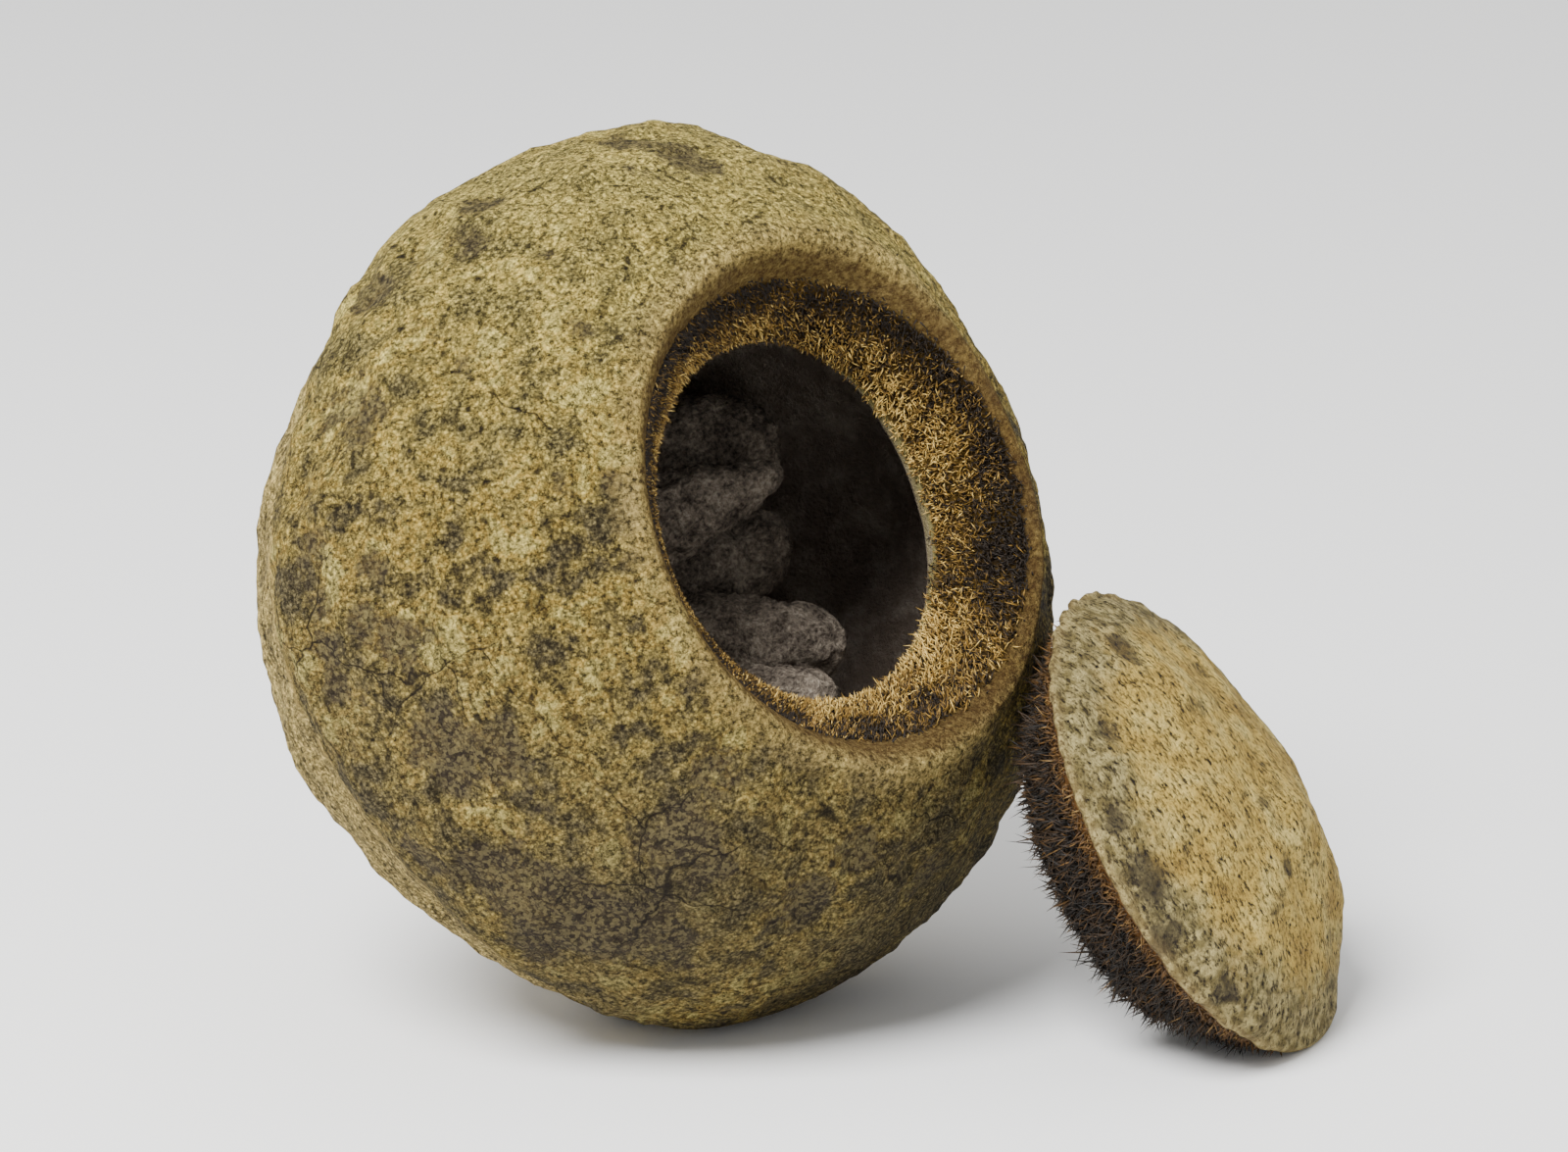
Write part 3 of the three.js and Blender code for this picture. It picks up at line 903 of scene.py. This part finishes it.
POT_WORN = (
    WornSpot(455, 245, 38), WornSpot(487, 205, 26), WornSpot(372, 300, 24), WornSpot(345, 430, 44),
    WornSpot(312, 575, 24), WornSpot(318, 615, 22), WornSpot(326, 660, 18), WornSpot(336, 705, 14),
    WornSpot(376, 578, 16), WornSpot(410, 655, 24), WornSpot(418, 690, 14), WornSpot(577, 492, 16),
    WornSpot(445, 765, 36), WornSpot(516, 766, 24), WornSpot(428, 880, 22), WornSpot(500, 900, 40),
    WornSpot(565, 935, 60), WornSpot(640, 960, 55), WornSpot(690, 880, 42), WornSpot(740, 790, 30),
    WornSpot(830, 930, 30), WornSpot(880, 870, 22), WornSpot(640, 138, 28), WornSpot(700, 152, 30),
    WornSpot(950, 900, 30), WornSpot(330, 300, 26), WornSpot(300, 385, 22), WornSpot(425, 195, 26),
    WornSpot(480, 155, 20), WornSpot(305, 490, 22), WornSpot(560, 250, 14), WornSpot(520, 330, 12),
    WornSpot(620, 490, 14), WornSpot(590, 335, 14), WornSpot(362, 635, 16),
)
LID_WORN = (
    WornSpot(1298, 803, 24), WornSpot(1175, 900, 28), WornSpot(1140, 835, 16), WornSpot(1230, 680, 14),
    WornSpot(1190, 960, 24), WornSpot(1320, 880, 12), WornSpot(1285, 770, 16), WornSpot(1310, 835, 14),
    WornSpot(1150, 660, 16), WornSpot(1135, 740, 14), WornSpot(1210, 640, 12), WornSpot(1255, 1010, 16),
)


def worn_values(spots: tuple[WornSpot, ...], mesh: bpy.types.Mesh) -> np.ndarray:
    """How worn each vertex of a mesh is, from patches seen in the photograph.

    Args:
        spots: The patches.
        mesh: The mesh that they lie on.

    Returns:
        A value from 0 to 1 for each vertex.
    """
    tree = tree_of(mesh)
    points = points_of(mesh)
    values = np.zeros(len(points))
    pixels_per_mm = CAMERA.lens / CAMERA.sensor * IMAGE_WIDE / CAMERA.distance
    for spot in spots:
        hit = tree.ray_cast(CAMERA.place(), CAMERA.ray(spot.across, spot.down))[0]
        if hit is None:
            continue
        radius = spot.radius / pixels_per_mm * MM
        away = np.linalg.norm(points - np.array(hit), axis=1)
        values = np.maximum(values, smoothstep(away, 1.9 * radius, 0.5 * radius))
    return values


@dataclass
class Pot:
    """The thick-walled pot with its felted lip and the torn fibres of its mouth."""

    lip_radius: float = 35.0
    lip_height: float = 44.6
    mouth_radius: float = 23.4
    mouth_height: float = 32.0
    lump: float = 0.8
    lump_size: float = 11.0
    crust: float = 0.5
    crust_size: float = 3.4
    torn: float = 0.7
    torn_size: float = 5.0
    # Distances along the wall at which the outside, the slope's lower end and the hollow fade in.
    outside_span: tuple[float, float] = (-1.0, 5.0)
    slope_end: tuple[float, float] = (-17.4, -16.6)
    hollow_span: tuple[float, float] = (-17.5, -20.0)
    # Heights between which the relief fades in, so that the resting spot stays flat.
    foot_span: tuple[float, float] = (0.4, 5.0)
    bed_start: float = -2.6
    top_shift: float = 3.0
    low_shift: float = 2.4
    fibres: int = 22000
    fibre_length: float = 0.95
    fibre_radius: float = 0.13
    rind: CorkyRind = field(default_factory=CorkyRind)
    # Its first colour is the painted shade at the fibres' roots.
    fibre: DryFibre = DryFibre("torn_mouth_fibre", "#0b0703", "#1c1207", "#8f6d2b", "#dcbb6a")

    def along(self, local: np.ndarray, normals: np.ndarray) -> np.ndarray:
        """Distance along the wall from the lip's crest, in millimetres.

        Args:
            local: Points in the pot's frame.
            normals: Normals there.

        Returns:
            Positive over the outside, negative down the mouth and on into the hollow.
        """
        radius = np.hypot(local[:, 0], local[:, 1])
        height = local[:, 2]
        crest = np.hypot(radius - self.lip_radius, height - self.lip_height)
        slope = math.hypot(self.lip_radius - self.mouth_radius, self.lip_height - self.mouth_height)
        edge = np.hypot(radius - self.mouth_radius, height - self.mouth_height)
        under = (height < self.mouth_height + 0.5) | (normals[:, 2] < -0.1)
        hollow = (np.einsum("ij,ij->i", local, normals) < 0) & under
        mouth = (radius < self.lip_radius) & (height > self.mouth_height - 8)
        return np.where(hollow, -slope - edge, np.where(mouth, -crest, crest))

    def build(self) -> list[bpy.types.Object]:
        """Builds the pot and its mouth's fibres.

        Returns:
            The pieces.
        """
        mesh = fine_copy("pot", 2)
        points = points_of(mesh)
        normals = normals_of(mesh)
        local = POT_FRAME.local(points)
        along = self.along(local, POT_FRAME.direction(normals))
        worn = worn_values(POT_WORN, mesh)
        outside = smoothstep(along, *self.outside_span)
        inside = smoothstep(along, *self.hollow_span)
        lumps = self.lump * (rough(local, self.lump_size, 2) - 0.55)
        crust = self.crust * (rough(local, self.crust_size, 2, 3.0) - 0.5 - worn)
        torn = self.torn * rough(local, self.torn_size, 3, 7.0)
        rise = outside * (lumps + crust) + inside * torn
        rise *= smoothstep(points[:, 2] / MM, *self.foot_span)
        set_points(mesh, points + normals * rise[:, None] * MM)
        set_values(mesh, "along", along)
        set_values(mesh, "worn", worn)
        turn = np.degrees(np.arctan2(local[:, 1], local[:, 0]))
        start = self.bed_start - self.top_shift * bell(turn - 85, 55)
        start -= self.low_shift * bell(turn + 100, 45)
        bed = smoothstep(along - start, 0.0, -2.0) * smoothstep(along, *self.slope_end)
        set_values(mesh, "bed", bed)
        fibres = self.build_fibres(mesh, along, bed)
        pot = finished(mesh, "pot_rind", self.rind.material())
        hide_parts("pot")
        return [pot, fibres]

    def build_fibres(self, mesh: bpy.types.Mesh, along: np.ndarray, bed: np.ndarray) -> bpy.types.Object:
        """Grows the torn fibres of the mouth's slope.

        Args:
            mesh: The pot's mesh.
            along: Distance along the wall at each vertex.
            bed: How much of the fibres' bed each vertex is.

        Returns:
            The fibres as one piece.
        """
        draw = np.random.default_rng(5)
        places = scatter(mesh, bed, self.fibres, 11, along)
        count = self.fibres
        local = POT_FRAME.local(places.points)
        depth = -places.values[0]
        turn = np.degrees(np.arctan2(local[:, 1], local[:, 0]))
        inward = np.stack([-local[:, 0], -local[:, 1], np.zeros(count)], axis=1)
        inward /= np.linalg.norm(inward, axis=1, keepdims=True)
        inward = POT_FRAME.to_scene(inward)
        ways = places.normals * 0.6 + inward * 0.45 + draw.normal(0, 0.5, (count, 3))
        bends = draw.normal(0, 0.5, (count, 3)) + inward * 0.25
        patch = rough(local, 5.0, 2, 2.0)
        # Gold and dark patches at angles round the mouth, as in the photograph.
        gold = -0.16 + 0.55 * smoothstep(depth, 7.5, 13.0) + 0.35 * patch
        gold += 0.4 * bell(turn - 13, 24) * smoothstep(depth, 4, 9) + 0.4 * bell(turn + 49, 16)
        gold += 0.2 * bell(turn + 100, 35) - 0.4 * bell(turn + 20, 15)
        tones = np.clip(gold + draw.normal(0, 0.34, count), 0, 1)
        lengths = self.fibre_length * draw.uniform(0.6, 1.3, count) * MM
        lengths *= 1 - 0.45 * smoothstep(depth, 13.5, 16.5)
        lengths *= 1 - 0.85 * bell((turn % 360) - 195, 60) - 0.4 * bell(turn - 85, 35)
        radii = self.fibre_radius * draw.uniform(0.75, 1.25, count) * MM
        tuft = Tuft(places.points, ways, bends, lengths, radii, tones)
        return finished(tuft.mesh("mouth_fibres"), "mouth_fibres", self.fibre.material())


@dataclass
class Lid:
    """The domed lid that fell from the mouth, with the shaggy plug under it."""

    lump: float = 0.9
    lump_size: float = 13.0
    rag: float = 0.7
    crust: float = 0.28
    crust_size: float = 3.0
    fibres: int = 19000
    fibre_length: float = 1.1
    fibre_radius: float = 0.17
    clearance: float = 0.15
    skin: FeltedLidSkin = field(default_factory=FeltedLidSkin)
    # Its first colour is the painted shade at the fibres' roots.
    fibre: DryFibre = DryFibre("torn_plug_fibre", "#070503", "#130d07", "#5e4016", "#8d7040")

    def build(self, pot: bpy.types.Object) -> list[bpy.types.Object]:
        """Builds the lid and its plug's fibres.

        Args:
            pot: The pot, which the fibres keep clear of.

        Returns:
            The pieces.
        """
        mesh = fine_copy("lid", 2)
        points = points_of(mesh)
        normals = normals_of(mesh)
        local = LID_FRAME.local(points)
        worn = worn_values(LID_WORN, mesh)
        dome = smoothstep(local[:, 2], 0.0, 1.5)
        rise = dome * self.crust * (rough(local, self.crust_size, 2, 4.0) - 0.6 - worn)
        rise += dome * self.lump * (rough(local, self.lump_size, 2, 9.0) - 0.5)
        rise += self.rag * bell(local[:, 2], 1.6) * (rough(local, 2.6, 2, 6.0) - 0.4)
        rise *= smoothstep(points[:, 2] / MM, 0.4, 4.0)
        set_points(mesh, points + normals * rise[:, None] * MM)
        set_values(mesh, "worn", worn)
        fibres = self.build_fibres(mesh, local, tree_of(pot.data))
        lid = finished(mesh, "lid_rind", self.skin.material())
        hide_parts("lid")
        return [lid, fibres]

    def build_fibres(self, mesh: bpy.types.Mesh, local: np.ndarray, pot: BVHTree) -> bpy.types.Object:
        """Grows the shaggy fibres of the plug.

        Args:
            mesh: The lid's mesh.
            local: Its vertices in the lid's frame.
            pot: The pot's faces.

        Returns:
            The fibres as one piece.
        """
        draw = np.random.default_rng(8)
        side = np.hypot(local[:, 0], local[:, 1]) > 20
        plug = smoothstep(local[:, 2], -0.9, -2.0) * np.where(side, 1.0, 0.5)
        places = scatter(mesh, plug, self.fibres, 23, local)
        count = self.fibres
        here = places.values[0]
        down = LID_FRAME.to_scene(np.tile([0.0, 0.0, -1.0], (count, 1)))
        ways = places.normals * 0.8 + down * 0.35 + draw.normal(0, 0.5, (count, 3))
        ways /= np.linalg.norm(ways, axis=1, keepdims=True)
        bends = draw.normal(0, 0.95, (count, 3))
        near_rim = smoothstep(here[:, 2], -4.5, -1.5)
        lengths = self.fibre_length * draw.uniform(0.55, 1.3, count) * (1 - 0.5 * near_rim) * MM
        radii = self.fibre_radius * draw.uniform(0.75, 1.25, count) * MM
        for i, (root, way) in enumerate(zip(places.points, ways)):
            away = pot.ray_cast(Vector(root), Vector(way), 8 * MM)[3]
            if away is not None:
                lengths[i] = min(lengths[i], max(0.2 * MM, away - self.clearance * MM))
        # Painted shade: the plug's fibres darken deeper under the rim.
        tones = 0.04 + 0.42 * near_rim + draw.normal(0, 0.1, count) + 0.5 * (draw.random(count) > 0.95)
        tuft = Tuft(places.points, ways, bends, lengths, radii, np.clip(tones, 0, 1))
        return finished(tuft.mesh("plug_fibres"), "plug_fibres", self.fibre.material())


@dataclass
class Seeds:
    """The dark seeds in the back of the hollow."""

    count: int = 8
    swell: float = 1.6
    wrinkle: float = 1.3
    wrinkle_size: float = 4.2
    coat: SeedCoat = field(default_factory=SeedCoat)

    def build(self) -> list[bpy.types.Object]:
        """Builds every seed.

        Returns:
            The pieces.
        """
        material = self.coat.material()
        return [self.build_one(number, material) for number in range(1, self.count + 1)]

    def build_one(self, number: int, material: bpy.types.Material) -> bpy.types.Object:
        """Builds one seed.

        Args:
            number: The seed's number.
            material: Its coat.

        Returns:
            The piece.
        """
        node = f"seed_{number}"
        mesh = fine_copy(node, 3)
        points = points_of(mesh)
        local = POT_FRAME.local(points)
        normals = normals_of(mesh)
        others = nodes_tree([f"seed_{i}" for i in range(1, self.count + 1) if i != number] + ["pot"])
        room = np.full(len(points), self.swell)
        for i, (point, normal) in enumerate(zip(points, normals)):
            away = others.ray_cast(Vector(point), Vector(normal), 8 * MM)[3]
            if away is not None:
                room[i] = min(self.swell, 0.4 * away / MM)
        folds = -np.abs(rough(local, self.wrinkle_size, 3, number)) * 1.6 * self.wrinkle
        set_points(mesh, points + normals * (room + folds)[:, None] * MM)
        piece = finished(mesh, f"seed_coat_{number}", material)
        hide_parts(node)
        return piece


@dataclass
class Studio:
    """A pale floor, a large soft lamp from the upper left, and even light all round."""

    floor: float = 6000.0
    floor_colour: str = "#fbfbfa"
    sky_colour: str = "#ffffff"
    sky: float = 0.9
    key: float = 40.0
    key_size: float = 700.0
    key_azimuth: float = -78.0
    key_elevation: float = 50.0
    key_distance: float = 1300.0

    def build(self) -> None:
        """Builds the floor and the lights."""
        bm = bmesh.new()
        bmesh.ops.create_grid(bm, x_segments=4, y_segments=4, size=self.floor * MM / 2)
        mesh = bpy.data.meshes.new("floor")
        bm.to_mesh(mesh)
        bm.free()
        material, tree = new_material("matt_white_paper")
        shader = add_node(tree, "BsdfPrincipled", {"Base Color": linear(self.floor_colour), "Roughness": 0.9})
        add_node(tree, "OutputMaterial", {"Surface": shader.outputs[0]})
        mesh.materials.append(material)
        floor = bpy.data.objects.new("floor", mesh)
        bpy.context.scene.collection.objects.link(floor)

        world = bpy.data.worlds.new("studio")
        world.use_nodes = True
        background = world.node_tree.nodes["Background"]
        background.inputs["Color"].default_value = linear(self.sky_colour)
        background.inputs["Strength"].default_value = self.sky
        bpy.context.scene.world = world

        lamp = bpy.data.lights.new("soft_lamp", "AREA")
        lamp.shape = "DISK"
        lamp.size = self.key_size * MM
        lamp.energy = self.key
        key = bpy.data.objects.new("soft_lamp", lamp)
        turn, rise = math.radians(self.key_azimuth), math.radians(self.key_elevation)
        way = Vector((math.sin(turn) * math.cos(rise), -math.cos(turn) * math.cos(rise), math.sin(rise)))
        key.matrix_world = (
            Matrix.Translation((Vector(CAMERA.aim) + way * self.key_distance) * MM)
            @ way.to_track_quat("Z", "Y").to_matrix().to_4x4()
        )
        bpy.context.scene.collection.objects.link(key)


def main() -> None:
    """Builds the fruit and its studio."""
    logging.basicConfig(level=logging.INFO, format="%(name)s: %(message)s")
    CAMERA.build()
    Studio().build()
    pot, _ = Pot().build()
    Lid().build(pot)
    Seeds().build()


if __name__ == "__main__":
    main()
